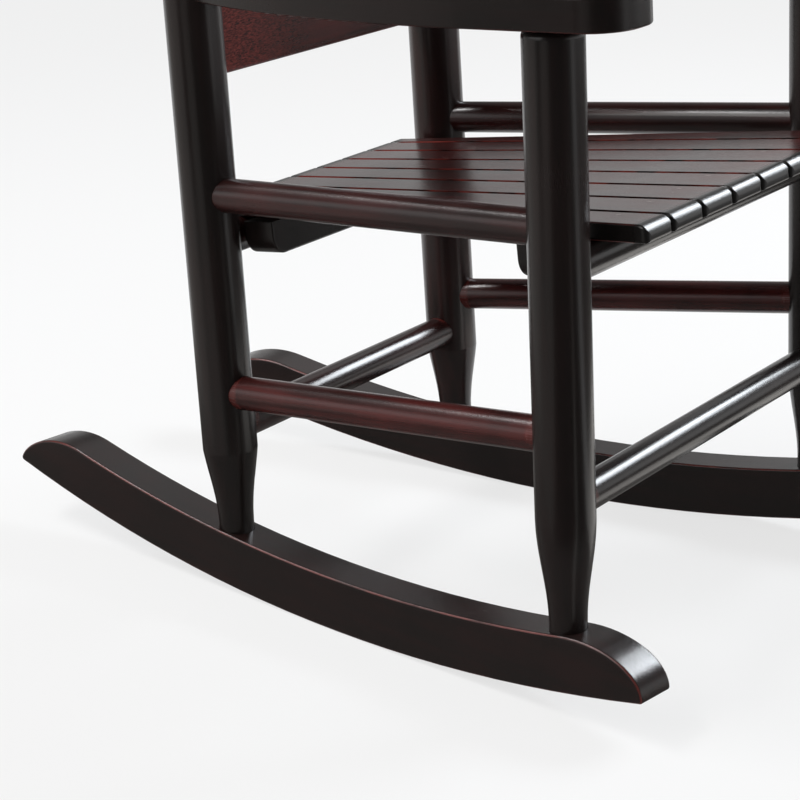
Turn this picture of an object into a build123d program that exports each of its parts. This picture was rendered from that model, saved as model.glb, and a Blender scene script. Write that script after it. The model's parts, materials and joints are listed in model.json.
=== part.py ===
from build123d import *
from math import asin, cos, degrees, radians, sin, sqrt, tan
import os

# Child's rocking chair: round posts and dowels on two curved rockers, with a slatted seat and back.
# Millimetres. Z is up, the sitter faces -Y, and +X is the sitter's left. The origin is on the floor,
# midway between the two rockers and between their front and back tips.

# Plan of the four posts at floor level, and how far they lean back
front_half_spacing = 166.0
back_half_spacing = 132.0
front_foot_y = -208.3
back_foot_y = 66.1
front_lean = 3.1
back_lean = 4.3

# Posts
post_diameter = 36.0
foot_diameter = 23.0
front_shoulder_height = 122.0
back_shoulder_height = 96.0
foot_straight = 4.0
back_post_height = 700.0
post_top_round = 8.0
front_post_top_round = 6.0

# Dowels: heights are where each axis meets the axis of its post
dowel_diameter = 22.0
dowel_socket = 12.0
upper_side_front_height = 293.0
upper_side_back_height = 265.0
lower_side_front_height = 170.0
lower_side_back_height = 134.5
front_cross_height = 128.0
back_cross_height = 109.0

# Rockers: each reach is measured along the rocker, from where it touches the floor to its tip
rocker_radius = 1104.0
rocker_height = 36.0
rocker_thickness = 28.5
rocker_contact_y = -29.3
rocker_front_reach = 242.0
rocker_back_reach = 301.0
rocker_nose = 62.0
rocker_nose_run = 34.0
rocker_front_rise = 18.0
rocker_back_rise = 10.0
rocker_tip_round = 2.2
rocker_arris = 1.5
foot_socket = 10.0

# Seat
seat_height = 293.0
seat_angle = 7.4
seat_overhang = 28.0
seat_back_overhang = 15.0
seat_side_gap = 9.5
slat_count = 8
slat_thickness = 11.0
slat_front_pitch = 37.5
slat_back_pitch = 29.3
slat_gap = 2.0
slat_nose = 7.0
slat_tail = 4.0
slat_under_nose = 2.5
slat_edge = 1.5
slat_corner = 4.0
bearer_width = 23.0
front_bearer_height = 26.0
back_bearer_height = 22.0
bearer_round = 12.0
bearer_edge = 1.5
front_bearer_clear = 14.0
back_bearer_lap = 4.0
front_bearer_gap = 14.7
back_bearer_gap = 4.5

# Arms
arm_height = 408.0
arm_angle = 4.0
arm_thickness = 22.0
arm_front_overhang = 56.0
arm_outer_overhang = 28.5
arm_inner_overhang = 30.0
arm_straight = 47.0
arm_back_width = 26.0
arm_front_round = 26.0
arm_top_edge = 4.0
arm_under_edge = 1.5
arm_cope = 5.0
arm_tenon_diameter = 20.0
arm_tenon = 12.0

# Back
rail_thickness = 14.0
rail_tenon = 10.0
rail_edge = 2.0
lower_rail_height = 338.3
lower_rail_width = 52.0
crest_drop = 102.0
crest_end_width = 52.0
crest_rise = 20.0
back_slat_count = 5
back_slat_width = 30.0
back_slat_thickness = 9.0
back_slat_tenon = 10.0
back_slat_edge = 1.5

# Wood screws
screw_diameter = 4.5
screw_head_diameter = 9.0
screw_head_height = 3.0
screw_tip = 4.0
rocker_screw_length = 38.0
rocker_screw_recess = 10.0
arm_screw_length = 55.0
arm_screw_recess = 7.0
slat_screw_bite = 8.0
slat_screw_recess = 8.0
dowel_screw_length = 24.0
dowel_screw_recess = 5.0
dowel_screw_slats = (1, slat_count - 2)

# Fits
fit_clearance = 0.2
seat_clearance = 0.1

# Rounds in which the point where a leaning post meets its curved rocker is found
foot_rounds = 6

# Values worked out from the sizes above
post_radius = post_diameter / 2
foot_radius = foot_diameter / 2
dowel_radius = dowel_diameter / 2
hole_radius = dowel_radius + fit_clearance
screw_hole_radius = screw_diameter / 2 + fit_clearance
recess_radius = screw_head_diameter / 2 + fit_clearance
rocker_top_radius = rocker_radius - rocker_height
past_surface = post_diameter
dowel_inset = post_radius - dowel_socket + fit_clearance
front_slat_screw_length = front_bearer_height - slat_screw_recess + slat_screw_bite
back_slat_screw_length = back_bearer_height - slat_screw_recess + slat_screw_bite
sides = (("left", 1), ("right", -1))

os.makedirs("parts", exist_ok=True)


def save(builder, name):
    """Label a finished piece and write it under its name."""
    builder.part.label = name
    export_step(builder.part, f"parts/{name}.step")


def front_axis(side, height):
    """Point on the axis of a front post."""
    return Vector(side * front_half_spacing, front_foot_y + height * tan(radians(front_lean)), height)


def back_axis(side, height):
    """Point on the axis of a back post."""
    return Vector(side * back_half_spacing, back_foot_y + height * tan(radians(back_lean)), height)


def towards(start, end):
    """Plane at a point, whose normal looks at another point."""
    return Plane(origin=start, z_dir=end - start)


# Seat plane: its origin is the middle of the front edge of the top, its local Y runs to the back
seat_across = Vector(1, 0, 0)
seat_back = Vector(0, cos(radians(seat_angle)), -sin(radians(seat_angle)))
seat_up = seat_across.cross(seat_back)
seat_front = Vector(0, front_foot_y - seat_overhang, seat_height + seat_overhang * tan(radians(seat_angle)))
seat_top = Plane(origin=seat_front, x_dir=seat_across, z_dir=seat_up)
seat_under = seat_top.offset(-slat_thickness)


def seat_dowel_height(axis_point, lean):
    """Height on a post's axis where a dowel just clears the underside of the slats."""
    depth = slat_thickness + dowel_radius + seat_clearance
    at_floor = axis_point(0, 0)
    reach = (seat_front - at_floor).dot(seat_up) - depth
    return reach / (Vector(0, tan(radians(lean)), 1).dot(seat_up))


front_seat_dowel_height = seat_dowel_height(front_axis, front_lean)
back_seat_dowel_height = seat_dowel_height(back_axis, back_lean)


def seat_distance(point):
    """Distance of a point from the front edge of the seat, along the seat."""
    return (point - seat_front).dot(seat_back)


front_dowel_distance = seat_distance(front_axis(0, front_seat_dowel_height))
back_dowel_distance = seat_distance(back_axis(0, back_seat_dowel_height))
seat_length = back_dowel_distance + seat_back_overhang
crest_height = back_post_height - crest_drop
front_bearer_offset = front_dowel_distance + dowel_radius + front_bearer_gap + bearer_width / 2
back_bearer_offset = back_dowel_distance - dowel_radius - back_bearer_gap - bearer_width / 2
front_seat_half = front_half_spacing - post_radius - seat_side_gap
back_seat_half = back_half_spacing - post_radius - seat_side_gap
seat_taper = (front_seat_half - back_seat_half) / (back_dowel_distance - front_dowel_distance)


def seat_half(distance):
    """Half the width of the seat at a distance from its front edge."""
    return front_seat_half - seat_taper * (distance - front_dowel_distance)


def slat_line(index, distance):
    """Local X of the line between two slats, counted from the right-hand edge of the seat."""
    if index in (0, slat_count):
        return seat_half(distance) * (1 if index else -1)
    pitch = slat_front_pitch + (slat_back_pitch - slat_front_pitch) * distance / seat_length
    return pitch * (index - slat_count / 2)


def slat_middle(index, distance):
    """Local X of the middle of a slat."""
    return (slat_line(index, distance) + slat_line(index + 1, distance)) / 2


def slat_outline(index, corner):
    """Plan of a slat on the underside of the seat, with rounded front corners if any are asked for."""
    half_gap = slat_gap / 2
    with BuildSketch(seat_under) as outline:
        with BuildLine():
            Polyline(
                (slat_line(index, 0) + half_gap, 0),
                (slat_line(index + 1, 0) - half_gap, 0),
                (slat_line(index + 1, seat_length) - half_gap, seat_length),
                (slat_line(index, seat_length) + half_gap, seat_length),
                close=True,
            )
        make_face()
        if corner:
            fillet(outline.vertices().sort_by(Axis.Y)[:2], corner)
    return outline.sketch


# Arm plane: its origin is where the axis of the front post meets the underside of the arm
arm_back = Vector(0, cos(radians(arm_angle)), -sin(radians(arm_angle)))
arm_up = Vector(1, 0, 0).cross(arm_back)


def arm_plane(side):
    """Underside of an arm, with its local Y towards the back."""
    return Plane(origin=front_axis(side, arm_height), x_dir=(1, 0, 0), z_dir=arm_up)


def arm_end(side):
    """Point on the axis of the back post, level with the middle of the arm."""
    middle = arm_plane(side).origin + arm_up * (arm_thickness / 2)
    floor = back_axis(side, 0)
    lean = Vector(0, tan(radians(back_lean)), 1)
    return floor + lean * ((middle - floor).dot(arm_up) / lean.dot(arm_up))


# The flat top of the front post, inside its rounded edge, clears the slanted arm by this much
front_top_flat = post_radius - front_post_top_round
front_top_gap = front_top_flat * tan(radians(abs(arm_angle - front_lean))) + seat_clearance
front_length = arm_height / cos(radians(front_lean)) - front_top_gap
back_length = back_post_height / cos(radians(back_lean))

# Each side's pieces meet at the same points on the axes of the posts
side_dowels = {
    "upper": (upper_side_front_height, upper_side_back_height),
    "lower": (lower_side_front_height, lower_side_back_height),
}
front_cross_heights = (front_cross_height, front_seat_dowel_height)
back_cross_heights = (back_cross_height, back_seat_dowel_height)


def rocker_plane(side):
    """Upright plane of a rocker through both feet: local X runs to the back, local Y is up."""
    along = back_axis(side, 0) - front_axis(side, 0)
    contact = front_axis(side, 0) + along * ((rocker_contact_y - front_foot_y) / along.Y)
    return Plane(origin=contact, x_dir=along, z_dir=along.cross(Vector(0, 0, 1)))


def rocker_top(side, axis_point):
    """Point where the axis of a post meets the top of its rocker."""
    plane = rocker_plane(side)
    height = rocker_height
    for _ in range(foot_rounds):
        along = plane.to_local_coords(axis_point(side, height)).X
        height = rocker_radius - sqrt(rocker_top_radius**2 - along**2)
    return axis_point(side, height)


def screw_profile(length):
    """Half outline of a countersunk wood screw, whose head's flat face is at the origin."""
    shank = screw_diameter / 2
    Polyline(
        (0, 0),
        (screw_head_diameter / 2, 0),
        (shank, screw_head_height),
        (shank, length - screw_tip),
        (0, length),
        close=True,
    )


def save_screws(screws, name):
    """Write a group of screws, each given by its length and the plane whose normal it is driven along."""
    with BuildPart() as group:
        for place, length in screws:
            upright = Plane(origin=place.origin, x_dir=place.x_dir, z_dir=place.x_dir.cross(place.z_dir))
            with BuildSketch(upright):
                with BuildLine():
                    screw_profile(length)
                make_face()
            revolve(axis=Axis(place.origin, place.z_dir))
    save(group, name)


def cut_pilot_hole(place, length):
    """Cut the hole for the shank of a screw."""
    with Locations(place):
        Cylinder(
            screw_hole_radius,
            length + fit_clearance,
            align=(Align.CENTER, Align.CENTER, Align.MIN),
            mode=Mode.SUBTRACT,
        )


def cut_screw_hole(place, recess, length):
    """Cut the recess behind a screw's head, the seat of its head and the hole for its shank."""
    cut_pilot_hole(place, length)
    with Locations(place):
        Cone(
            recess_radius,
            screw_hole_radius,
            screw_head_height,
            align=(Align.CENTER, Align.CENTER, Align.MIN),
            mode=Mode.SUBTRACT,
        )
        Cylinder(
            recess_radius,
            recess + past_surface,
            align=(Align.CENTER, Align.CENTER, Align.MAX),
            mode=Mode.SUBTRACT,
        )


def cut_round_socket(start, end, surface, depth, radius):
    """Cut a blind round hole in a post, along the line from its axis to another point."""
    with Locations(towards(start, end).offset(surface - depth)):
        Cylinder(
            radius,
            depth + past_surface,
            align=(Align.CENTER, Align.CENTER, Align.MIN),
            mode=Mode.SUBTRACT,
        )


def foot_screw(side, axis_point, lean):
    """Plane of the screw that holds a foot: at its head, looking up the post."""
    up = Vector(0, tan(radians(lean)), 1).normalized()
    plane = rocker_plane(side)
    head = axis_point(side, 0)
    for _ in range(foot_rounds):
        along = plane.to_local_coords(head).X
        head = axis_point(side, rocker_radius - sqrt(rocker_radius**2 - along**2))
    return Plane(origin=head + up * rocker_screw_recess, x_dir=(1, 0, 0), z_dir=up)


def arm_screw(side):
    """Plane of the screw that holds an arm: at its head, behind the back post, looking forward."""
    head = arm_end(side) + arm_back * (post_radius - arm_screw_recess)
    return Plane(origin=head, x_dir=(1, 0, 0), z_dir=-arm_back)


def post_axis(side, axis_point, lean):
    """Axis of a post, from the floor up."""
    return Axis(axis_point(side, 0), Vector(0, tan(radians(lean)), 1))


def post_profile(side, axis_point, lean, shoulder, crisp, length, top_round, tenon):
    """Half outline of a post: a straight shaft with a rounded top, on a tapered foot."""
    up = Vector(0, tan(radians(lean)), 1).normalized()
    foot = rocker_top(side, axis_point)
    bottom = (foot - axis_point(side, 0)).length - foot_socket + fit_clearance
    taper_end = bottom + foot_socket + foot_straight
    base = axis_point(side, 0)
    flare = Vector(post_radius - foot_radius, shoulder - taper_end).normalized()
    shoulder_run = flare if crisp else Vector(0, 1)
    with BuildSketch(Plane(origin=base, x_dir=(1, 0, 0), z_dir=Vector(1, 0, 0).cross(up))) as profile:
        with BuildLine():
            Line((0, bottom), (foot_radius, bottom))
            Line((foot_radius, bottom), (foot_radius, taper_end))
            Spline(
                (foot_radius, taper_end),
                (post_radius, shoulder),
                tangents=(Vector(0, 1), shoulder_run),
            )
            Line((post_radius, shoulder), (post_radius, length - top_round))
            RadiusArc((post_radius, length - top_round), (post_radius - top_round, length), -top_round)
            if tenon:
                Polyline(
                    (post_radius - top_round, length),
                    (arm_tenon_diameter / 2, length),
                    (arm_tenon_diameter / 2, length + tenon),
                    (0, length + tenon),
                )
            else:
                Line((post_radius - top_round, length), (0, length))
            Line((0, length + tenon), (0, bottom))
        make_face()
    return profile.sketch


def back_plane(height):
    """Plane of the back, seen from the front: local X across, local Y up the posts."""
    up = Vector(0, sin(radians(back_lean)), cos(radians(back_lean)))
    return Plane(origin=back_axis(0, height), x_dir=(1, 0, 0), z_dir=Vector(1, 0, 0).cross(up))


# Rails: the width is measured up the posts, and their ends are let into the posts
rail_half_length = back_half_spacing - post_radius + rail_tenon - fit_clearance
back_clear_half = back_half_spacing - post_radius
back_slat_gap = (2 * back_clear_half - back_slat_count * back_slat_width) / (back_slat_count + 1)
back_slat_places = [
    (index - (back_slat_count - 1) / 2) * (back_slat_width + back_slat_gap)
    for index in range(back_slat_count)
]
crest_plane = back_plane(crest_height)
lower_rail_plane = back_plane(lower_rail_height)
crest_distance = lower_rail_plane.to_local_coords(crest_plane.origin).Y


def rail_mortise(plane, width, side):
    """Outline of the mortise for a rail in a back post, in the plane of the rail."""
    with BuildSketch(plane) as mortise:
        with Locations((side * (back_clear_half + rail_tenon), width / 2)):
            Rectangle(
                rail_tenon + past_surface,
                width + 2 * fit_clearance,
                align=(Align.MAX if side > 0 else Align.MIN, Align.CENTER),
            )
    return mortise.sketch


def slat_mortises(plane, low, high):
    """Outlines of the mortises for the upright slats, between two heights of a rail's plane."""
    with BuildSketch(plane) as mortises:
        with Locations(*[(place, (low + high) / 2) for place in back_slat_places]):
            Rectangle(back_slat_width + 2 * fit_clearance, high - low)
    return mortises.sketch


# Rockers
for side_name, side in sides:
    plane = rocker_plane(side)
    centre = (0, rocker_radius)
    front_tip = degrees(asin(rocker_front_reach / rocker_radius))
    back_tip = degrees(asin(rocker_back_reach / rocker_radius))
    front_top = degrees(asin((rocker_front_reach - rocker_nose) / rocker_top_radius))
    back_top = degrees(asin((rocker_back_reach - rocker_nose) / rocker_top_radius))
    with BuildPart() as rocker:
        with BuildSketch(plane) as outline:
            with BuildLine():
                under = CenterArc(centre, rocker_radius, 270 - front_tip, front_tip + back_tip)
                top = CenterArc(centre, rocker_top_radius, 270 - front_top, front_top + back_top)
                for end, way, rise in ((0, -1, rocker_front_rise), (1, 1, rocker_back_rise)):
                    brow = top @ end + top % end * way * rocker_nose_run
                    chin = under @ end + Vector(0, rise, 0)
                    Bezier(top @ end, brow, chin, under @ end)
            make_face()
            tips = outline.vertices().sort_by(Axis.X)
            fillet((tips[0], tips[-1]), rocker_tip_round)
        extrude(amount=rocker_thickness / 2, both=True)
        faces = rocker.faces().sort_by(Axis(plane.origin, plane.z_dir))
        fillet(faces[0].edges() + faces[-1].edges(), rocker_arris)
        for axis_point, lean in ((front_axis, front_lean), (back_axis, back_lean)):
            foot = rocker_top(side, axis_point)
            place = foot_screw(side, axis_point, lean)
            with Locations(Plane(origin=foot, z_dir=place.z_dir).offset(-foot_socket)):
                Cylinder(
                    foot_radius + fit_clearance,
                    foot_socket + past_surface,
                    align=(Align.CENTER, Align.CENTER, Align.MIN),
                    mode=Mode.SUBTRACT,
                )
            cut_screw_hole(place, rocker_screw_recess, rocker_screw_length)
    save(rocker, f"{side_name}_rocker")

# Front posts
for side_name, side in sides:
    with BuildPart() as front_post:
        profile = post_profile(
            side,
            front_axis,
            front_lean,
            front_shoulder_height,
            False,
            front_length,
            front_post_top_round,
            arm_tenon,
        )
        revolve(profile, axis=post_axis(side, front_axis, front_lean))
        for front_height, back_height in side_dowels.values():
            start = front_axis(side, front_height)
            cut_round_socket(start, back_axis(side, back_height), post_radius, dowel_socket, hole_radius)
        for height in front_cross_heights:
            start = front_axis(side, height)
            cut_round_socket(start, front_axis(-side, height), post_radius, dowel_socket, hole_radius)
        cut_pilot_hole(foot_screw(side, front_axis, front_lean), rocker_screw_length)
    save(front_post, f"{side_name}_front_post")

# Back posts
for side_name, side in sides:
    with BuildPart() as back_post:
        profile = post_profile(
            side, back_axis, back_lean, back_shoulder_height, True, back_length, post_top_round, 0
        )
        revolve(profile, axis=post_axis(side, back_axis, back_lean))
        for front_height, back_height in side_dowels.values():
            start = back_axis(side, back_height)
            cut_round_socket(start, front_axis(side, front_height), post_radius, dowel_socket, hole_radius)
        for height in back_cross_heights:
            start = back_axis(side, height)
            cut_round_socket(start, back_axis(-side, height), post_radius, dowel_socket, hole_radius)
        for rail_plane, width in ((lower_rail_plane, lower_rail_width), (crest_plane, crest_end_width)):
            mortise = rail_mortise(rail_plane, width, side)
            extrude(mortise, amount=rail_thickness / 2 + fit_clearance, both=True, mode=Mode.SUBTRACT)
        cut_screw_hole(arm_screw(side), arm_screw_recess, arm_screw_length)
        cut_pilot_hole(foot_screw(side, back_axis, back_lean), rocker_screw_length)
    save(back_post, f"{side_name}_back_post")

# Side stretchers
for side_name, side in sides:
    for level, (front_height, back_height) in side_dowels.items():
        start = front_axis(side, front_height)
        end = back_axis(side, back_height)
        with BuildPart() as stretcher:
            with BuildSketch(towards(start, end).offset(dowel_inset)):
                Circle(dowel_radius)
            extrude(amount=(end - start).length - 2 * dowel_inset)
        save(stretcher, f"{side_name}_{level}_side_stretcher")

# Cross stretchers and seat dowels
cross_dowels = (
    ("front_cross_stretcher", front_axis, front_cross_height),
    ("back_cross_stretcher", back_axis, back_cross_height),
    ("front_seat_dowel", front_axis, front_seat_dowel_height),
    ("back_seat_dowel", back_axis, back_seat_dowel_height),
)
seat_dowel_screws = []
for name, axis_point, height in cross_dowels:
    start = axis_point(-1, height)
    end = axis_point(1, height)
    with BuildPart() as cross_dowel:
        with BuildSketch(towards(start, end).offset(dowel_inset)):
            Circle(dowel_radius)
        extrude(amount=(end - start).length - 2 * dowel_inset)
        if name.endswith("seat_dowel"):
            middle = (start + end) / 2
            distance = seat_distance(middle)
            for index in dowel_screw_slats:
                head = middle + seat_across * slat_middle(index, distance)
                head = head - seat_up * (dowel_radius - dowel_screw_recess)
                place = Plane(origin=head, x_dir=seat_across, z_dir=seat_up)
                cut_screw_hole(place, dowel_screw_recess, dowel_screw_length)
                seat_dowel_screws.append((place, dowel_screw_length))
    save(cross_dowel, name)

# Seat bearers: boards on edge, whose lower corners are rounded at both ends
front_bearer_half = front_half_spacing - post_radius - front_bearer_clear
back_bearer_half = back_half_spacing - post_radius + back_bearer_lap
bearers = (
    ("front", front_bearer_offset, front_bearer_half, front_bearer_height, front_slat_screw_length),
    ("back", back_bearer_offset, back_bearer_half, back_bearer_height, back_slat_screw_length),
)
slat_screws = []
for end_name, offset, half_length, height, screw_length in bearers:
    middle = seat_under.from_local_coords(Vector(0, offset, 0))
    end = middle - seat_across * half_length
    with BuildPart() as bearer:
        with BuildSketch(Plane(origin=end, x_dir=seat_back, z_dir=seat_across)):
            Rectangle(bearer_width, height, align=(Align.CENTER, Align.MAX))
        extrude(amount=2 * half_length)
        end_edges = bearer.edges().filter_by(Axis(middle, seat_back))
        fillet(end_edges.sort_by(Axis(middle, seat_up))[:2], bearer_round)
        broad_faces = bearer.faces().sort_by(Axis(middle, seat_back))
        outline = broad_faces[0].edges() + broad_faces[-1].edges()
        fillet(outline.sort_by(Axis(middle, seat_up))[:-2], bearer_edge)
        for index in range(slat_count):
            head = middle + seat_across * slat_middle(index, offset)
            head = head - seat_up * (height - slat_screw_recess)
            place = Plane(origin=head, x_dir=seat_across, z_dir=seat_up)
            cut_screw_hole(place, slat_screw_recess, screw_length)
            slat_screws.append((place, screw_length))
    save(bearer, f"{end_name}_seat_bearer")

# Seat slats
for index in range(slat_count):
    with BuildPart() as seat_slat:
        extrude(slat_outline(index, 0), amount=slat_thickness)
        across = seat_slat.edges().filter_by(Axis.X)
        front_edges = across.group_by(Axis(seat_front, seat_back))[0].sort_by(Axis(seat_front, seat_up))
        back_edges = across.group_by(Axis(seat_front, seat_back))[-1].sort_by(Axis(seat_front, seat_up))
        fillet(front_edges[-1], slat_nose)
        fillet(front_edges[0], slat_under_nose)
        fillet(back_edges[-1], slat_tail)
        side_faces = seat_slat.faces().sort_by(Axis.X)
        upper_sides = [
            edge
            for face in (side_faces[0], side_faces[-1])
            for edge in face.edges()
            if seat_under.to_local_coords(edge @ 0.5).Z > slat_under_nose
        ]
        fillet(upper_sides, slat_edge)
        extrude(slat_outline(index, slat_corner), amount=slat_thickness, mode=Mode.INTERSECT)
        for place, length in slat_screws + seat_dowel_screws:
            cut_pilot_hole(place, length)
    save(seat_slat, f"seat_slat_{index + 1}")

# Arms
for side_name, side in sides:
    plane = arm_plane(side)
    back_point = plane.to_local_coords(arm_end(side))
    back_middle = back_point.X
    back_end = back_point.Y - post_radius + arm_cope
    outer_back = back_middle + side * arm_back_width / 2
    inner_back = back_middle - side * arm_back_width / 2
    outer_front = side * arm_outer_overhang
    inner_front = -side * arm_inner_overhang
    with BuildPart() as arm:
        with BuildSketch(plane) as arm_outline:
            with BuildLine():
                straight = Line((outer_front, -arm_front_overhang), (outer_front, arm_straight))
                TangentArc(straight @ 1, (outer_back, back_end), tangent=straight % 1)
                Polyline(
                    (outer_back, back_end),
                    (inner_back, back_end),
                    (inner_front, -arm_front_overhang),
                    (outer_front, -arm_front_overhang),
                )
            make_face()
            fillet(arm_outline.vertices().sort_by(Axis.Y)[:2], arm_front_round)
        extrude(amount=arm_thickness)
        levels = arm.faces().sort_by(Axis(plane.origin, arm_up))
        fillet(levels[-1].edges().sort_by(Axis.Y)[:-1], arm_top_edge)
        fillet(levels[0].edges().sort_by(Axis.Y)[:-1], arm_under_edge)
        with Locations(towards(back_axis(side, 0), back_axis(side, back_post_height))):
            Cylinder(
                post_radius + fit_clearance,
                2 * back_post_height,
                align=(Align.CENTER, Align.CENTER, Align.MIN),
                mode=Mode.SUBTRACT,
            )
        with Locations(towards(front_axis(side, 0), front_axis(side, arm_height))):
            Cylinder(
                arm_tenon_diameter / 2 + fit_clearance,
                front_length + arm_tenon + fit_clearance,
                align=(Align.CENTER, Align.CENTER, Align.MIN),
                mode=Mode.SUBTRACT,
            )
        cut_pilot_hole(arm_screw(side), arm_screw_length)
    save(arm, f"{side_name}_arm")

# Lower back rail
with BuildPart() as lower_back_rail:
    with BuildSketch(lower_rail_plane):
        Rectangle(2 * rail_half_length, lower_rail_width, align=(Align.CENTER, Align.MIN))
    extrude(amount=rail_thickness / 2, both=True)
    fillet(lower_back_rail.edges().filter_by(Axis.X), rail_edge)
    mortises = slat_mortises(
        lower_rail_plane, lower_rail_width - back_slat_tenon, lower_rail_width + back_slat_tenon
    )
    extrude(mortises, amount=back_slat_thickness / 2 + fit_clearance, both=True, mode=Mode.SUBTRACT)
save(lower_back_rail, "lower_back_rail")

# Crest rail, with an arched top
with BuildPart() as crest_rail:
    with BuildSketch(crest_plane):
        with BuildLine():
            Polyline(
                (back_clear_half, crest_end_width),
                (rail_half_length, crest_end_width),
                (rail_half_length, 0),
                (-rail_half_length, 0),
                (-rail_half_length, crest_end_width),
                (-back_clear_half, crest_end_width),
            )
            ThreePointArc(
                (-back_clear_half, crest_end_width),
                (0, crest_end_width + crest_rise),
                (back_clear_half, crest_end_width),
            )
        make_face()
    extrude(amount=rail_thickness / 2, both=True)
    arched = crest_rail.edges().filter_by(GeomType.CIRCLE)
    level = crest_rail.edges().filter_by(Axis.X).group_by(Axis.Z)[0]
    fillet(arched + level, rail_edge)
    mortises = slat_mortises(crest_plane, -back_slat_tenon, back_slat_tenon)
    extrude(mortises, amount=back_slat_thickness / 2 + fit_clearance, both=True, mode=Mode.SUBTRACT)
save(crest_rail, "crest_rail")

# Upright back slats
slat_low = lower_rail_width - back_slat_tenon + fit_clearance
slat_high = crest_distance + back_slat_tenon - fit_clearance
for index, place in enumerate(back_slat_places):
    with BuildPart() as back_slat:
        with BuildSketch(lower_rail_plane):
            with Locations((place, (slat_low + slat_high) / 2)):
                Rectangle(back_slat_width, slat_high - slat_low)
        extrude(amount=back_slat_thickness / 2, both=True)
        upright = Axis(lower_rail_plane.origin, lower_rail_plane.y_dir)
        fillet(back_slat.edges().filter_by(upright), back_slat_edge)
    save(back_slat, f"back_slat_{index + 1}")

# Wood screws
foot_places = [
    foot_screw(side, axis_point, lean)
    for _, side in sides
    for axis_point, lean in ((front_axis, front_lean), (back_axis, back_lean))
]
save_screws([(place, rocker_screw_length) for place in foot_places], "rocker_screws")
save_screws([(arm_screw(side), arm_screw_length) for _, side in sides], "arm_screws")
save_screws(slat_screws, "slat_screws")
save_screws(seat_dowel_screws, "seat_dowel_screws")
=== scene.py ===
import json
import math

import bpy
import numpy as np
from mathutils import Matrix, Vector

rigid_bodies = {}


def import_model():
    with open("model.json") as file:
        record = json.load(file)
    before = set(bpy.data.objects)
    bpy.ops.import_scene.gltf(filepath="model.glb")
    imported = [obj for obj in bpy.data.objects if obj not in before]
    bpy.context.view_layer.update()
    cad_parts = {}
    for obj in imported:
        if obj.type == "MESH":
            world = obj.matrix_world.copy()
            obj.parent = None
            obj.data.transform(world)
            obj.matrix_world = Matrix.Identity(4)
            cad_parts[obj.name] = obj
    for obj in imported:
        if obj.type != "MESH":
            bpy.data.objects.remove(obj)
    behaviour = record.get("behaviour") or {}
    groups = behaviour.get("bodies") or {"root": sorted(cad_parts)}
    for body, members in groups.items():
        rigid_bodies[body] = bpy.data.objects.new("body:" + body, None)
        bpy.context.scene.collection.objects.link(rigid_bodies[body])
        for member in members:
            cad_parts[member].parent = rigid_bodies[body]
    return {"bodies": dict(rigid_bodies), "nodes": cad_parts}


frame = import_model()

bl_info = {
    "name": "Child's rocking chair",
    "version": (1, 0, 0),
    "blender": (4, 5, 0),
    "location": "3D View > Sidebar > Rocking chair",
    "description": "Lacquers the wooden pieces of a small rocking chair and sets them in a plain studio",
    "category": "Object",
}

# The pieces of the frame, and nothing that the empty file brought with it
for stray in set(bpy.data.objects) - set(frame["nodes"].values()) - set(frame["bodies"].values()):
    bpy.data.objects.remove(stray)
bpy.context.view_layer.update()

PANEL_TAB = "Rocking chair"

# Grain: waves per metre along it and across it, and marks that run all ways
STREAK_STRETCH = (7, 190, 190)
PORE_STRETCH = (70, 1700, 1700)
FIBRE_STRETCH = (420, 1500, 1500)
CLOUD_SCALE = 17.0
PATCH_SCALE = 46.0
RIPPLE_SCALE = 620.0
MOTTLE_SCALE = 900.0

# Where each mask of the lacquer starts and where it is full
THIN_STEP = (0.36, 0.66)
PATCH_STEP = (0.36, 0.62)
PORE_STEP = (0.56, 0.74)
FIBRE_STEP = (0.34, 0.72)
ARRIS_STEP = (0.25, 0.8)
SIDE_STEP = (0.72, 0.92)
SEAM_LEAN_STEP = (0.10, 0.45)
SEAM_RISE_STEP = (0.05, 0.25)
HANDLED_STEP = (-0.14, 0.0)

# Distances from the end of a piece at which a mask starts and is full
DARK_END = (0.012, 0.006)
RUBBED_RING = (0.0155, 0.0125)

# Outer limit of the seams of the seat, red stain with painted shade along the gaps, which narrows to the
# rear
SEAM_LIMIT = 0.106
SEAM_SOFTNESS = 0.002
SEAM_TAPER = 0.086

# Strength of each mark in the colour of the lacquer
STREAK_SHARE = 0.55
LEAST_THIN = 0.25
LEAST_PATCH = 0.3
LEAST_HANDLED = 0.05
PORE_DARK = 0.45
STREAKY_PORE_DARK = 0.15
# Red share of the slat seams, whose matt dark is painted shade
SEAM_RED = 0.85

# Strength of each mark in the relief and the roughness of the lacquer
BUMP_STRENGTH = 0.35
BUMP_DEPTH = 0.0006
RIPPLE_HEIGHT = 0.5
PORE_HEIGHT = 0.22
STREAK_HEIGHT = 0.20
CLOUD_ROUGH = 0.10
PORE_ROUGH = 0.05
RUBBED_ROUGH = 0.12
END_ROUGH = 0.07
ROUGH_SHIFT = -0.02
ZINC_ROUGH = 0.28
MOTTLE_ROUGH = 0.2

# Floor and the cards on it
FLOOR_EDGES = 96
FLOOR_MATT = 0.68
FLOOR_FADE = (1.0, 4.5)
CARD_STEPS = 24
CARD_LIFT = 0.0005
CARD_TINT = (1.0, 0.97, 0.93)
FAR = 8.9

# Studio that the gloss sees: directions, and where each region starts and is full
LEFT_PANEL_WAY = (-0.84, 0.54, 0.0)
LEFT_PANEL_STEP = (0.78, 0.88)
LEFT_PANEL_FOOT = (0.0, 0.12)
LEFT_PANEL_HEAD = (0.36, 0.46)
RIGHT_PANEL_WAY = (0.77, 0.22, 0.60)
RIGHT_PANEL_STEP = (0.93, 0.98)
NEAR_SIDE_WAY = (-0.82, -0.57, 0.0)
NEAR_SIDE_STEP = (0.50, 0.85)
REAR_WALL_STEP = (0.42, 0.62)
CEILING_STEP = (0.18, 0.34)
LAMP_AIM = (0.0, 0.0, 0.25)


# Properties

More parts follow.
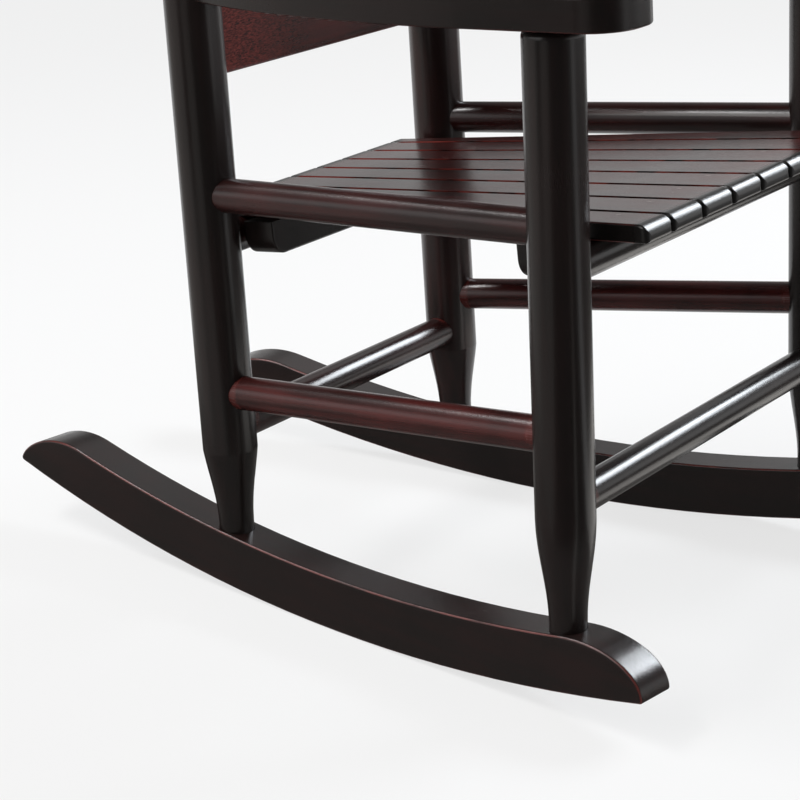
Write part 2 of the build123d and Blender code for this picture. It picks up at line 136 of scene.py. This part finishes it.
def tone(name, description, default):
    """A colour that a user would change."""
    return bpy.props.FloatVectorProperty(
        name=name, description=description, default=default, subtype="COLOR", min=0, max=1
    )


def share(name, description, default):
    """A share from none to all."""
    return bpy.props.FloatProperty(
        name=name, description=description, default=default, subtype="FACTOR", min=0, max=1
    )


def measure(name, description, default, unit="NONE"):
    """A number with its unit."""
    return bpy.props.FloatProperty(name=name, description=description, default=default, unit=unit)


def heading(name, description, default, subtype):
    """A place or a direction."""
    return bpy.props.FloatVectorProperty(
        name=name, description=description, default=default, subtype=subtype
    )


class RockingChairLacquer(bpy.types.PropertyGroup):
    """Colours and gloss of the lacquered wood, and the colours of the screws."""

    espresso: tone("Espresso", "Lacquer where it lies thick", (0.0056, 0.0046, 0.0042))
    oxblood: tone("Oxblood", "Red-brown stain where the lacquer is thin", (0.062, 0.0095, 0.0085))
    rubbed: tone("Rubbed edge", "Stain where an edge is rubbed through", (0.140, 0.022, 0.017))
    dark_zinc: tone("Dark zinc", "Darker spots of the plated screws", (0.42, 0.41, 0.37))
    pale_zinc: tone("Pale zinc", "Paler spots of the plated screws", (0.62, 0.61, 0.57))
    gloss: share("Gloss", "Strength of the mirror reflection", 0.45)
    roughness: share("Roughness", "Roughness of the lacquer", 0.24)
    peel: share("Orange peel", "Ripple of the sprayed lacquer", 0.30)
    rocker_red: share("Rockers", "Red that shows in the rockers", 0.12)
    post_red: share("Posts", "Red that shows in the posts", 0.07)
    inner_post_red: share("Left back post", "Red that shows in the left back post", 0.26)
    upper_red: share("Upper stretchers", "Red that shows in the upper side stretchers", 0.45)
    side_red: share("Lower stretchers", "Red that shows in the lower side stretchers", 0.95)
    cross_red: share("Back dowels", "Red that shows in the dowels across the back", 0.30)
    seat_red: share("Seat", "Red that shows in the seat slats", 0.72)
    arm_red: share("Arms", "Red that shows in the arms, the bearers and the front dowels", 0.05)
    back_red: share("Back", "Red that shows in the rails and slats of the back", 0.80)


class RockingChairStage(bpy.types.PropertyGroup):
    """Floor, surroundings, lamps and camera."""

    floor_radius: measure("Floor radius", "Radius of the pale floor", 9.0, "LENGTH")
    floor_white: share("Floor white", "Brightness of the floor and the surroundings", 0.92)
    floor_shadow: share("Floor shadow", "How much of the floor's own light and shade shows", 0.20)
    sky: share("Sky", "Level of the soft light from all round", 0.45)
    ceiling: share("Ceiling", "Brightness of the upper studio in the lacquer", 0.17)
    rear_wall: share("Rear wall", "Brightness of the wall behind the chair in the lacquer", 0.58)
    left_panel: measure("Left panel", "Brightness of the panel on the left in the lacquer", 1.3)
    right_panel: measure("Right panel", "Brightness of the panel on the right in the lacquer", 0.6)
    near_side: share("Near side", "Brightness of the camera's side in the lacquer", 0.06)
    top_power: measure("Top lamp", "Power of the lamp overhead", 36.0, "POWER")
    left_power: measure("Left lamp", "Power of the lamp beside the chair", 9.0, "POWER")
    front_power: measure("Front lamp", "Power of the lamp before the chair", 43.0, "POWER")
    camera_place: heading(
        "Camera", "Place of the camera", (-1.3300, -0.8842, 0.6663), "TRANSLATION"
    )
    camera_aim: heading(
        "Aim", "Direction the camera looks in", (0.7777, 0.5341, -0.3317), "DIRECTION"
    )
    lens: measure("Lens", "Focal length of the camera in millimetres", 112.15, "CAMERA")


# Shader maths

class Wire:
    """An output of a shader node. Sums on it add Math nodes."""

    def __init__(self, recipe, socket):
        self.recipe = recipe
        self.socket = socket

    def math(self, operation, *values):
        return self.recipe.node("ShaderNodeMath", {"operation": operation}, dict(enumerate(values)))

    def __add__(self, other):
        return self.math("ADD", self, other)

    def __radd__(self, other):
        return self.math("ADD", other, self)

    def __sub__(self, other):
        return self.math("SUBTRACT", self, other)

    def __rsub__(self, other):
        return self.math("SUBTRACT", other, self)

    def __mul__(self, other):
        return self.math("MULTIPLY", self, other)

    def __rmul__(self, other):
        return self.math("MULTIPLY", other, self)

    def __abs__(self):
        return self.math("ABSOLUTE", self)


class Recipe:
    """The node tree of one material or world."""

    def __init__(self, tree):
        self.tree = tree
        tree.nodes.clear()

    def node(self, kind, settings=None, sockets=None, out=0):
        """Add a node: its settings come first, then the values or links of its sockets."""
        made = self.tree.nodes.new(kind)
        for key, value in (settings or {}).items():
            setattr(made, key, value)
        for key, value in (sockets or {}).items():
            if isinstance(value, Wire):
                self.tree.links.new(value.socket, made.inputs[key])
            else:
                made.inputs[key].default_value = value
        return Wire(self, made.outputs[out]) if made.outputs else made

    def mix(self, factor, first, second):
        """Colour between two colours."""
        settings = {"data_type": "RGBA", "clamp_factor": True}
        return self.node("ShaderNodeMix", settings, {0: factor, 6: first, 7: second}, out=2)

    def step(self, value, low, high):
        """Smooth step of a value, from 0 at low to 1 at high."""
        settings = {"interpolation_type": "SMOOTHSTEP"}
        sockets = {"Value": value, "From Min": low, "From Max": high}
        return self.node("ShaderNodeMapRange", settings, sockets)

    def noise(self, place, scale=1.0, detail=2.0):
        """Soft noise from 0 to 1."""
        sockets = {"Vector": place, "Scale": scale, "Detail": detail}
        return self.node("ShaderNodeTexNoise", None, sockets)

    def vector(self, operation, *values, out=0):
        """A sum on vectors."""
        settings = {"operation": operation}
        return self.node("ShaderNodeVectorMath", settings, dict(enumerate(values)), out)

    def dot(self, first, second):
        """Dot product of two directions."""
        return self.vector("DOT_PRODUCT", first, second, out="Value")

    def axis(self, vector, name):
        """One of the three numbers of a vector."""
        return self.node("ShaderNodeSeparateXYZ", None, {0: vector}, out=name)


def at_least(mask, least):
    """A mask that goes from a least value, and not from 0, to 1."""
    return mask * (1 - least) + least


def opaque(colour):
    """A colour with full alpha."""
    return (*colour, 1.0)


def grey(level):
    """A grey with full alpha."""
    return opaque((level,) * 3)


def new_material(name):
    """A material without nodes, and the recipe for them."""
    material = bpy.data.materials.new(name)
    material.use_nodes = True
    return material, Recipe(material.node_tree)


def give(node, material):
    """Put a material on a piece."""
    slots = frame["nodes"][node].data.materials
    slots.clear()
    slots.append(material)


# Lacquered wood

def grain_axes(node):
    """Middle of a piece and its three axes, the longest of them first."""
    points = np.array([corner.co for corner in frame["nodes"][node].data.vertices], float)
    middle = (points.min(0) + points.max(0)) / 2
    _, _, rows = np.linalg.svd(points - points.mean(0), full_matrices=False)
    along, across = (Vector(row) for row in rows[:2])
    along *= math.copysign(1, max(along, key=abs))
    across *= math.copysign(1, max(across, key=abs))
    return Vector(middle), Matrix((along, across, along.cross(across))).transposed()


def level_axis(node):
    """Which of a piece's two short axes is level."""
    _, axes = grain_axes(node)
    return min((1, 2), key=lambda index: abs(axes.col[index].z))


def stained_shaded_seams(recipe, place, normal, sides):
    """Mask of the upper arrises along the gaps between the slats, without the seat's outer edges, for
    seams of red stain with painted shade.
    """
    off_middle = abs(recipe.axis(place, "X")) + recipe.axis(place, "Y") * SEAM_TAPER
    outer = recipe.step(off_middle, SEAM_LIMIT - SEAM_SOFTNESS, SEAM_LIMIT + SEAM_SOFTNESS)
    upward = recipe.step(recipe.axis(normal, "Z"), *SEAM_RISE_STEP)
    return recipe.step(sides, *SEAM_LEAN_STEP) * upward * (1 - outer)


def lacquered_wood(
    node, red, rub=0.0, arris=2, peel=1.0, fine=0.5, gloss=1.0, dark_ends=False, ring=0.0, streaky=0.0
):
    """Dark lacquer over a red stain, for one piece, with the grain along it.

    rub wears the arrises at the faces that the given axis of the piece looks out of, and ring wears
    a ring at each end instead. peel and fine set the relief of the ripple and the grain. dark_ends
    is for slats with dark ends, with sides darkened as painted shade between the slats, and with seams
    of red stain and painted shade. streaky is for wood whose fibres show red.
    """
    looks = bpy.context.scene.rocking_chair_lacquer
    espresso, oxblood, worn_red = map(opaque, (looks.espresso, looks.oxblood, looks.rubbed))
    middle, axes = grain_axes(node)
    grain = axes.col[0]
    corners = frame["nodes"][node].data.vertices
    reach = max(abs((corner.co - middle).dot(grain)) for corner in corners)

    material, recipe = new_material(f"lacquer_{node}")
    place = recipe.node("ShaderNodeTexCoord", out="Object")
    local = recipe.node(
        "ShaderNodeMapping",
        {"vector_type": "TEXTURE"},
        {"Vector": place, "Location": middle, "Rotation": axes.to_euler()},
    )
    normal = recipe.node("ShaderNodeNewGeometry", out="Normal")
    along = recipe.axis(local, "X")

    def near_end(start, full):
        return recipe.step(abs(along), reach - start, reach - full)

    # The stain, where the lacquer is thin
    streaks = recipe.noise(recipe.vector("MULTIPLY", local, STREAK_STRETCH), detail=3.0)
    pores = recipe.noise(recipe.vector("MULTIPLY", local, PORE_STRETCH))
    clouds = recipe.noise(local, CLOUD_SCALE)
    cover = streaks * STREAK_SHARE + clouds * (1 - STREAK_SHARE)
    shown = at_least(recipe.step(cover, *THIN_STEP), LEAST_THIN) * red
    # Slats: the stain comes off the ends, and off the sides as painted shade between the slats
    worn = rub
    if dark_ends:
        ends = near_end(*DARK_END)
        sides = abs(recipe.dot(normal, axes.col[1]))
        bare = 1 - recipe.step(ends + recipe.step(sides, *SIDE_STEP), 0.0, 1.0)
        shown = shown * bare
        worn = bare * rub
    colour = recipe.mix(shown, espresso, oxblood)

    # Wear, pores and red fibres
    patches = recipe.step(recipe.noise(local, PATCH_SCALE, detail=3.0), *PATCH_STEP)
    if ring:
        rubbed = near_end(*RUBBED_RING) * patches * ring
    else:
        lean = recipe.dot(normal, axes.col[arris])
        slope = lean * lean
        arrises = recipe.step(slope * (1 - slope) * 4, *ARRIS_STEP)
        rubbed = arrises * at_least(patches, LEAST_PATCH) * worn
    colour = recipe.mix(rubbed, colour, worn_red)
    pore_dark = STREAKY_PORE_DARK if streaky else PORE_DARK
    colour = recipe.mix(recipe.step(pores, *PORE_STEP) * pore_dark, colour, espresso)
    if streaky:
        threads = recipe.noise(recipe.vector("MULTIPLY", local, FIBRE_STRETCH))
        handled = at_least(1 - recipe.step(along, *HANDLED_STEP), LEAST_HANDLED)
        colour = recipe.mix(recipe.step(threads, *FIBRE_STEP) * handled * streaky, colour, worn_red)

    # Relief and gloss
    ripple = recipe.noise(local, RIPPLE_SCALE) * (looks.peel * peel * RIPPLE_HEIGHT)
    height = ripple + pores * (PORE_HEIGHT * fine) + streaks * (STREAK_HEIGHT * fine)
    bumped = recipe.node(
        "ShaderNodeBump",
        None,
        {"Strength": BUMP_STRENGTH, "Distance": BUMP_DEPTH, "Height": height},
    )
    rough = (clouds - 0.5) * CLOUD_ROUGH + pores * PORE_ROUGH + rubbed * RUBBED_ROUGH
    rough = rough + (looks.roughness + ROUGH_SHIFT)
    if dark_ends:
        rough = rough + ends * END_ROUGH
    shader = recipe.node(
        "ShaderNodeBsdfPrincipled",
        None,
        {
            "Base Color": colour,
            "Roughness": rough,
            "Specular IOR Level": looks.gloss * gloss,
            "Normal": bumped,
        },
    )
    # Seams along the slat gaps: red stain with painted shade, matt so that they show no reflection
    if dark_ends:
        seam_stain_and_shade = recipe.mix(patches * SEAM_RED, espresso, worn_red)
        matt_seam_shade = recipe.node("ShaderNodeBsdfDiffuse", None, {"Color": seam_stain_and_shade})
        seams = stained_shaded_seams(recipe, place, normal, sides) * (1 - ends)
        shader = recipe.node("ShaderNodeMixShader", None, {0: seams, 1: shader, 2: matt_seam_shade})
    recipe.node("ShaderNodeOutputMaterial", None, {"Surface": shader})
    give(node, material)


def both_sides(name):
    """Names of the left and right pieces of a pair."""
    return [f"{side}_{name}" for side in ("left", "right")]


class ROCKINGCHAIR_OT_rockers(bpy.types.Operator):
    """Lacquer the two rockers, whose arrises are rubbed red"""

    bl_idname = "rocking_chair.rockers"
    bl_label = "Lacquer rockers"

    def execute(self, context):
        looks = context.scene.rocking_chair_lacquer
        for node in both_sides("rocker"):
            lacquered_wood(node, looks.rocker_red, rub=0.75, arris=level_axis(node))
        return {"FINISHED"}


class ROCKINGCHAIR_OT_posts(bpy.types.Operator):
    """Lacquer the four posts"""

    bl_idname = "rocking_chair.posts"
    bl_label = "Lacquer posts"

    def execute(self, context):
        looks = context.scene.rocking_chair_lacquer
        for node in both_sides("front_post") + both_sides("back_post"):
            red = looks.inner_post_red if node == "left_back_post" else looks.post_red
            lacquered_wood(node, red, peel=0.8, fine=0.3)
        return {"FINISHED"}


class ROCKINGCHAIR_OT_stretchers(bpy.types.Operator):
    """Lacquer the side stretchers and the dowels that run across"""

    bl_idname = "rocking_chair.stretchers"
    bl_label = "Lacquer stretchers"

    def execute(self, context):
        looks = context.scene.rocking_chair_lacquer
        lacquered_wood("left_upper_side_stretcher", looks.upper_red, peel=0.4, fine=0.3)
        lacquered_wood("right_upper_side_stretcher", looks.upper_red, peel=2.0, fine=0.3)
        for node in both_sides("lower_side_stretcher"):
            lacquered_wood(node, looks.side_red, peel=1.6, ring=0.3)
        for end, red in (("front", looks.arm_red), ("back", looks.cross_red)):
            lacquered_wood(f"{end}_cross_stretcher", red, fine=0.3, ring=0.5)
            lacquered_wood(f"{end}_seat_dowel", red, fine=0.3)
        return {"FINISHED"}


class ROCKINGCHAIR_OT_seat(bpy.types.Operator):
    """Lacquer the seat slats, red stain with painted shade in the gaps between them, and the bearers
    under them
    """

    bl_idname = "rocking_chair.seat"
    bl_label = "Lacquer seat"

    def execute(self, context):
        looks = context.scene.rocking_chair_lacquer
        for node in sorted(frame["nodes"]):
            if node.startswith("seat_slat"):
                lacquered_wood(node, looks.seat_red, rub=0.65, arris=1, dark_ends=True)
            elif node.endswith("seat_bearer"):
                lacquered_wood(node, looks.arm_red)
        return {"FINISHED"}


class ROCKINGCHAIR_OT_arms(bpy.types.Operator):
    """Lacquer the two arms"""

    bl_idname = "rocking_chair.arms"
    bl_label = "Lacquer arms"

    def execute(self, context):
        looks = context.scene.rocking_chair_lacquer
        for node in both_sides("arm"):
            lacquered_wood(node, looks.arm_red, rub=0.25, gloss=0.75)
        return {"FINISHED"}


class ROCKINGCHAIR_OT_back(bpy.types.Operator):
    """Lacquer the rails and upright slats of the back"""

    bl_idname = "rocking_chair.back"
    bl_label = "Lacquer back"

    def execute(self, context):
        looks = context.scene.rocking_chair_lacquer
        for node in sorted(frame["nodes"]):
            if node.startswith("back_slat") or node in ("crest_rail", "lower_back_rail"):
                lacquered_wood(node, looks.back_red, rub=0.8, fine=1.4, gloss=0.5, streaky=1.3)
        return {"FINISHED"}


class ROCKINGCHAIR_OT_screws(bpy.types.Operator):
    """Plate the wood screws"""

    bl_idname = "rocking_chair.screws"
    bl_label = "Plate screws"

    def execute(self, context):
        looks = context.scene.rocking_chair_lacquer
        material, recipe = new_material("zinc_plate")
        place = recipe.node("ShaderNodeTexCoord", out="Object")
        mottle = recipe.noise(place, MOTTLE_SCALE, detail=3.0)
        colour = recipe.mix(mottle, opaque(looks.dark_zinc), opaque(looks.pale_zinc))
        rough = mottle * MOTTLE_ROUGH + ZINC_ROUGH
        shader = recipe.node(
            "ShaderNodeBsdfPrincipled",
            None,
            {"Base Color": colour, "Metallic": 1.0, "Roughness": rough},
        )
        recipe.node("ShaderNodeOutputMaterial", None, {"Surface": shader})
        for node in sorted(frame["nodes"]):
            if node.endswith("screws"):
                give(node, material)
        return {"FINISHED"}


# Stage

def seen_or_mirrored(recipe):
    """1 for a ray that the eye, a mirror or glass sends out, 0 for one that only lights something."""
    eye, mirror, glass = (
        recipe.node("ShaderNodeLightPath", out=name)
        for name in ("Is Camera Ray", "Is Glossy Ray", "Is Transmission Ray")
    )
    return recipe.step(eye + mirror + glass, 0.0, 1.0)


def stage_mesh(name, points, faces, material):
    """A mesh that belongs to the stage and not to the chair."""
    mesh = bpy.data.meshes.new(name)
    mesh.from_pydata(points, [], faces)
    mesh.materials.append(material)
    made = bpy.data.objects.new(name, mesh)
    bpy.context.scene.collection.objects.link(made)
    return made


def pale_floor(stage):
    """A round floor that looks white, with a little of its own light and shade near the chair."""
    material, recipe = new_material("pale_floor")
    matt = recipe.node("ShaderNodeBsdfDiffuse", None, {"Color": grey(FLOOR_MATT)})
    glow = recipe.node(
        "ShaderNodeEmission", None, {"Color": grey(stage.floor_white), "Strength": 1.0}
    )
    place = recipe.node("ShaderNodeTexCoord", out="Object")
    near = 1 - recipe.step(recipe.vector("LENGTH", place, out="Value"), *FLOOR_FADE)
    seen = seen_or_mirrored(recipe) * (1 - near * stage.floor_shadow)
    blend = recipe.node("ShaderNodeMixShader", None, {0: seen, 1: matt, 2: glow})
    recipe.node("ShaderNodeOutputMaterial", None, {"Surface": blend})

    turns = [2 * math.pi * index / FLOOR_EDGES for index in range(FLOOR_EDGES)]
    radius = stage.floor_radius
    ring = [(radius * math.cos(turn), radius * math.sin(turn), 0.0) for turn in turns]
    stage_mesh("floor", ring, [list(range(FLOOR_EDGES))], material)


def floor_card(name, level, reaches, bearings, middle=(0.0, 0.0), layer=1):
    """A card on the floor that shows only in the gloss: a part of a ring between two reaches and two
    bearings from a point on the floor. A bearing is in degrees, from the front to the left."""
    material, recipe = new_material(name)
    tint = opaque(level * part for part in CARD_TINT)
    glow = recipe.node("ShaderNodeEmission", None, {"Color": tint, "Strength": 1.0})
    recipe.node("ShaderNodeOutputMaterial", None, {"Surface": glow})

    start, end = bearings
    turns = [
        math.radians(start + (end - start) * index / CARD_STEPS) for index in range(CARD_STEPS + 1)
    ]
    points = [
        (middle[0] + reach * math.sin(turn), middle[1] - reach * math.cos(turn), CARD_LIFT * layer)
        for reach in reaches
        for turn in turns
    ]
    row = len(turns)
    quads = [(index, index + 1, index + row + 1, index + row) for index in range(CARD_STEPS)]
    card = stage_mesh(name, points, quads, material)
    card.visible_camera = False
    card.visible_diffuse = False
    card.visible_shadow = False


def studio(stage):
    """Surroundings: white to the eye, soft light on the chair, and a studio in its gloss."""
    world = bpy.data.worlds.new("studio")
    world.use_nodes = True
    bpy.context.scene.world = world
    recipe = Recipe(world.node_tree)
    white = grey(stage.floor_white)
    direction = recipe.node("ShaderNodeTexCoord", out="Generated")
    rearward = recipe.axis(direction, "Y")
    upward = recipe.axis(direction, "Z")

    def facing(way, limits):
        return recipe.step(recipe.dot(direction, way), *limits)

    panel = facing(LEFT_PANEL_WAY, LEFT_PANEL_STEP) * recipe.step(upward, *LEFT_PANEL_FOOT)
    panel = panel * (1 - recipe.step(upward, *LEFT_PANEL_HEAD))
    mirrored = white
    for region, level in (
        (recipe.step(rearward, *REAR_WALL_STEP), stage.rear_wall),
        (recipe.step(upward, *CEILING_STEP), stage.ceiling),
        (panel, stage.left_panel),
        (facing(RIGHT_PANEL_WAY, RIGHT_PANEL_STEP), stage.right_panel),
        (facing(NEAR_SIDE_WAY, NEAR_SIDE_STEP), stage.near_side),
    ):
        mirrored = recipe.mix(region, mirrored, grey(level))
    eye = recipe.node("ShaderNodeLightPath", out="Is Camera Ray")
    seen = recipe.mix(eye, mirrored, white)
    colour = recipe.mix(seen_or_mirrored(recipe), grey(stage.sky), seen)
    light = recipe.node("ShaderNodeBackground", None, {"Color": colour, "Strength": 1.0})
    recipe.node("ShaderNodeOutputWorld", None, {"Surface": light})


def held(name, data, place, aim):
    """A lamp or camera at a place, turned to look along a direction."""
    holder = bpy.data.objects.new(name, data)
    holder.location = place
    holder.rotation_mode = "QUATERNION"
    holder.rotation_quaternion = Vector(aim).to_track_quat("-Z", "Y")
    bpy.context.scene.collection.objects.link(holder)
    return holder


def softbox(name, power, place, size, colour=(1.0, 1.0, 1.0)):
    """A rectangular lamp that looks at the chair."""
    lamp = bpy.data.lights.new(name, "AREA")
    lamp.shape = "RECTANGLE"
    lamp.size, lamp.size_y = size
    lamp.energy = power
    lamp.color = colour
    held(name, lamp, place, Vector(LAMP_AIM) - Vector(place)).visible_camera = False


class ROCKINGCHAIR_OT_stage(bpy.types.Operator):
    """Set the floor, the surroundings, the lamps and the camera"""

    bl_idname = "rocking_chair.stage"
    bl_label = "Set stage"

    def execute(self, context):
        scene = context.scene
        stage = scene.rocking_chair_stage
        scene.view_settings.view_transform = "Standard"
        pale_floor(stage)
        studio(stage)

        floor_card("ground_card", 0.20, (0.0, 0.57), (-180, 0), middle=(0.15, 0.0), layer=2)
        floor_card("side_card", 0.05, (0.42, FAR), (-74, 1))
        floor_card("middle_card", 0.36, (0.42, FAR), (-118, -74))
        floor_card("rear_card", 0.50, (0.42, FAR), (-178, -118))
        floor_card(
            "sliver_card", 0.90, (0.40, 1.70), (-14.6, -11.8), middle=(-0.13, 0.085), layer=3
        )
        floor_card("arm_card", 0.03, (1.25, FAR), (-115.6, -100), layer=4)
        floor_card("dowel_card", 1.40, (0.30, 0.60), (0, 75), layer=4)
        floor_card("front_card", 0.14, (0.62, 4.0), (15, 76))

        softbox("top_lamp", stage.top_power, place=(-0.70, 1.0, 1.85), size=(1.2, 0.25))
        softbox(
            "left_lamp",
            stage.left_power,
            place=(-1.45, 0.35, 1.40),
            size=(0.7, 0.8),
            colour=(1.0, 0.985, 0.96),
        )
        softbox(
            "front_lamp",
            stage.front_power,
            place=(1.47, -0.64, 1.27),
            size=(1.15, 0.5),
            colour=(0.90, 0.95, 1.0),
        )

        lens = bpy.data.cameras.new("camera")
        lens.lens = stage.lens
        scene.camera = held("camera", lens, stage.camera_place, stage.camera_aim)
        return {"FINISHED"}


PIECES = (
    ROCKINGCHAIR_OT_stage,
    ROCKINGCHAIR_OT_rockers,
    ROCKINGCHAIR_OT_posts,
    ROCKINGCHAIR_OT_stretchers,
    ROCKINGCHAIR_OT_seat,
    ROCKINGCHAIR_OT_arms,
    ROCKINGCHAIR_OT_back,
    ROCKINGCHAIR_OT_screws,
)


class ROCKINGCHAIR_PT_sidebar(bpy.types.Panel):
    """Sizes, colours and steps of the rocking chair"""

    bl_idname = "ROCKINGCHAIR_PT_sidebar"
    bl_label = "Rocking chair"
    bl_space_type = "VIEW_3D"
    bl_region_type = "UI"
    bl_category = PANEL_TAB

    def draw(self, context):
        for group in (context.scene.rocking_chair_lacquer, context.scene.rocking_chair_stage):
            column = self.layout.column(align=True)
            for name in group.__annotations__:
                column.prop(group, name)
        for piece in PIECES:
            self.layout.operator(piece.bl_idname)


CLASSES = (RockingChairLacquer, RockingChairStage, *PIECES, ROCKINGCHAIR_PT_sidebar)


def register():
    for each in CLASSES:
        bpy.utils.register_class(each)
    bpy.types.Scene.rocking_chair_lacquer = bpy.props.PointerProperty(type=RockingChairLacquer)
    bpy.types.Scene.rocking_chair_stage = bpy.props.PointerProperty(type=RockingChairStage)


def unregister():
    del bpy.types.Scene.rocking_chair_stage
    del bpy.types.Scene.rocking_chair_lacquer
    for each in reversed(CLASSES):
        bpy.utils.unregister_class(each)


def main():
    register()
    bpy.ops.rocking_chair.stage()
    bpy.ops.rocking_chair.rockers()
    bpy.ops.rocking_chair.posts()
    bpy.ops.rocking_chair.stretchers()
    bpy.ops.rocking_chair.seat()
    bpy.ops.rocking_chair.arms()
    bpy.ops.rocking_chair.back()
    bpy.ops.rocking_chair.screws()


if __name__ == "__main__":
    main()
